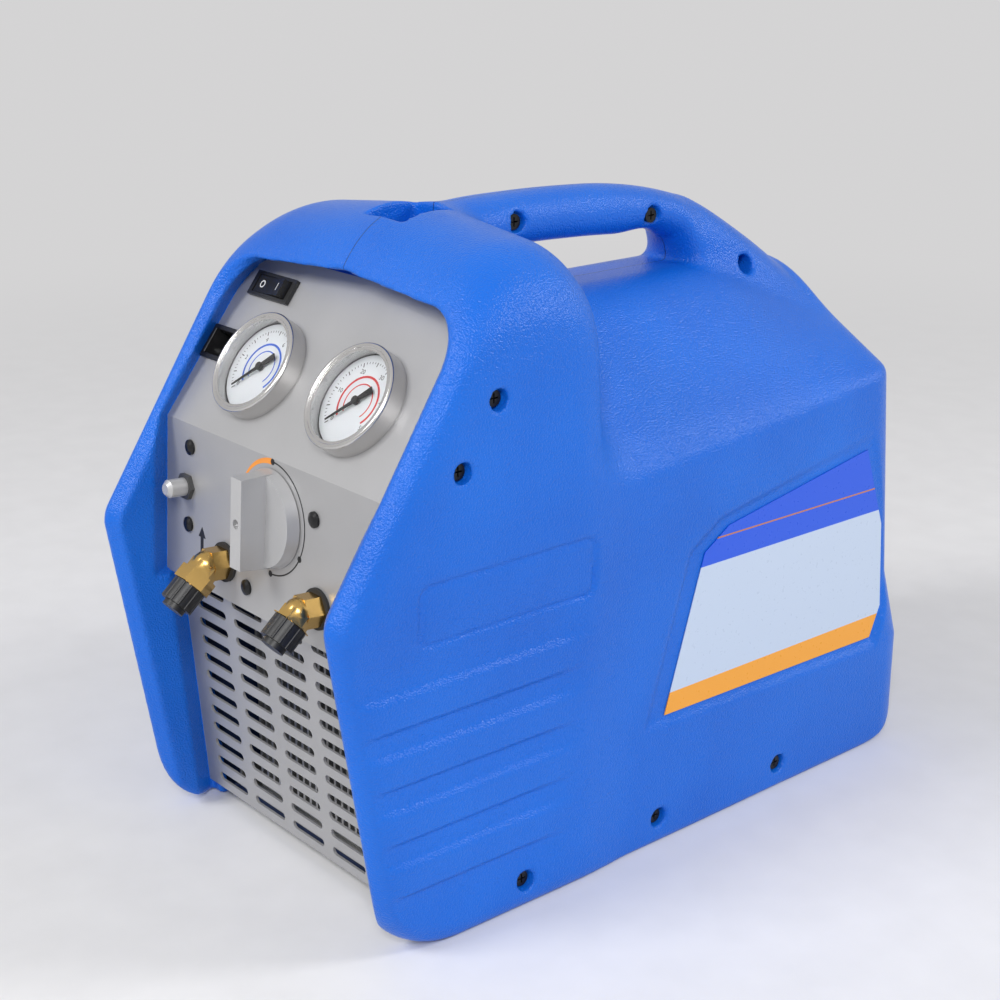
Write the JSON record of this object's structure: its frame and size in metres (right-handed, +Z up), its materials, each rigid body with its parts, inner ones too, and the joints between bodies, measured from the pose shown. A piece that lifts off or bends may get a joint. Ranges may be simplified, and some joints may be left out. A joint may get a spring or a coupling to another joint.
{
  "type": "refrigerant_recovery_machine",
  "caption": "Portable refrigerant recovery machine: blue moulded shells with a handle round a silver panel with dial gauges, selector knob and capped brass ports",
  "frame": {"origin": "Bounding box bottom centre, on the floor under the middle of the housing.", "axes": "+Z up; the control panel faces -Y; +X is to the right seen from the front."},
  "size_m": [0.226, 0.439, 0.3531],
  "materials": {
    "housing_blue": "pebble grain moulding",
    "panel_metal": "satin silver",
    "black_steel": "black oxide",
    "black_plastic": "fine matt",
    "dark_plastic": "matt",
    "grey_plastic": "satin grey",
    "bright_steel": "bright",
    "brass": "turned",
    "rubber": "matt",
    "bezel_chrome": "polished",
    "dial_white": "flat white with plain scale arcs",
    "needle_black": "matt black",
    "lens_clear": "clear",
    "motor_paint": "satin",
    "cast_alloy": "as cast",
    "zinc_steel": "zinc plated",
    "copper": "drawn copper tube",
    "label_film": "plain colour fields"
  },
  "bodies": {
    "housing": {"right_shell": "housing_blue", "left_shell": "housing_blue", "shell_screws": "black_steel", "control_panel": "panel_metal", "front_grille": "panel_metal", "rear_grille": "black_steel", "panel_screws": "black_steel", "base_plate": "zinc_steel", "switch_frame": "black_plastic", "mains_inlet": "black_plastic", "inlet_pins": "bright_steel", "breaker_body": "dark_plastic", "valve_block": "brass", "low_gauge_case": "dark_plastic", "low_gauge_bezel": "bezel_chrome", "low_gauge_dial": "dial_white", "low_gauge_lens": "lens_clear", "high_gauge_case": "dark_plastic", "high_gauge_bezel": "bezel_chrome", "high_gauge_dial": "dial_white", "high_gauge_lens": "lens_clear", "inlet_elbow": "brass", "outlet_elbow": "brass", "port_washers": "rubber", "port_nuts": "brass", "compressor_motor": "motor_paint", "compressor_crankcase": "cast_alloy", "compressor_barrel": "cast_alloy", "compressor_head": "cast_alloy", "compressor_feet": "rubber", "condenser_coil": "cast_alloy", "condenser_bends": "copper", "fan_motor": "motor_paint", "fan_bracket": "zinc_steel", "run_capacitor": "cast_alloy", "capacitor_clip": "bright_steel", "pressure_switch": "black_plastic", "suction_pipe": "copper", "discharge_pipe": "copper", "liquid_pipe": "copper", "gauge_tubes": "copper", "side_label": "label_film"},
    "selector": {"selector_knob": "grey_plastic", "knob_screw": "bright_steel", "valve_stem": "bright_steel"},
    "power_rocker": {"switch_rocker": "black_plastic"},
    "reset_button": {"breaker_button": "grey_plastic"},
    "low_pointer": {"low_gauge_needle": "needle_black"},
    "high_pointer": {"high_gauge_needle": "needle_black"},
    "inlet_screw_cap": {"inlet_cap": "black_plastic"},
    "outlet_screw_cap": {"outlet_cap": "black_plastic"},
    "fan": {"fan_rotor": "black_plastic"}
  },
  "joints": [
    {"name": "selector_turn", "type": "hinge", "parent": "housing", "child": "selector", "pos_m": [0, -0.17824, 0.20318], "axis": [0, 0.9974, -0.0715], "range_deg": [-60, 180]},
    {"name": "power_rock", "type": "hinge", "parent": "housing", "child": "power_rocker", "pos_m": [-0.0717, -0.12327, 0.30181], "axis": [0, 0.6074, 0.7944], "range_deg": [0, 18]},
    {"name": "reset_press", "type": "slide", "parent": "housing", "child": "reset_button", "axis": [0, 0.9974, -0.0715], "range_m": [0, 0.0035], "stiffness_N_per_m": 300},
    {"name": "low_sweep", "type": "hinge", "parent": "housing", "child": "low_pointer", "pos_m": [-0.0427, -0.15079, 0.26747], "axis": [0, 0.7944, -0.6074], "range_deg": [0, 270]},
    {"name": "high_sweep", "type": "hinge", "parent": "housing", "child": "high_pointer", "pos_m": [0.0427, -0.15079, 0.26747], "axis": [0, 0.7944, -0.6074], "range_deg": [0, 270]},
    {"name": "inlet_cap_off", "type": "slide", "parent": "housing", "child": "inlet_screw_cap", "axis": [0, -0.7559, -0.6547], "range_m": [0, 0.016]},
    {"name": "outlet_cap_off", "type": "slide", "parent": "housing", "child": "outlet_screw_cap", "axis": [0, -0.7559, -0.6547], "range_m": [0, 0.016]},
    {"name": "fan_spin", "type": "hinge", "parent": "housing", "child": "fan", "pos_m": [0, 0.176, 0.1], "axis": [0, 1, 0], "continuous": true}
  ]
}
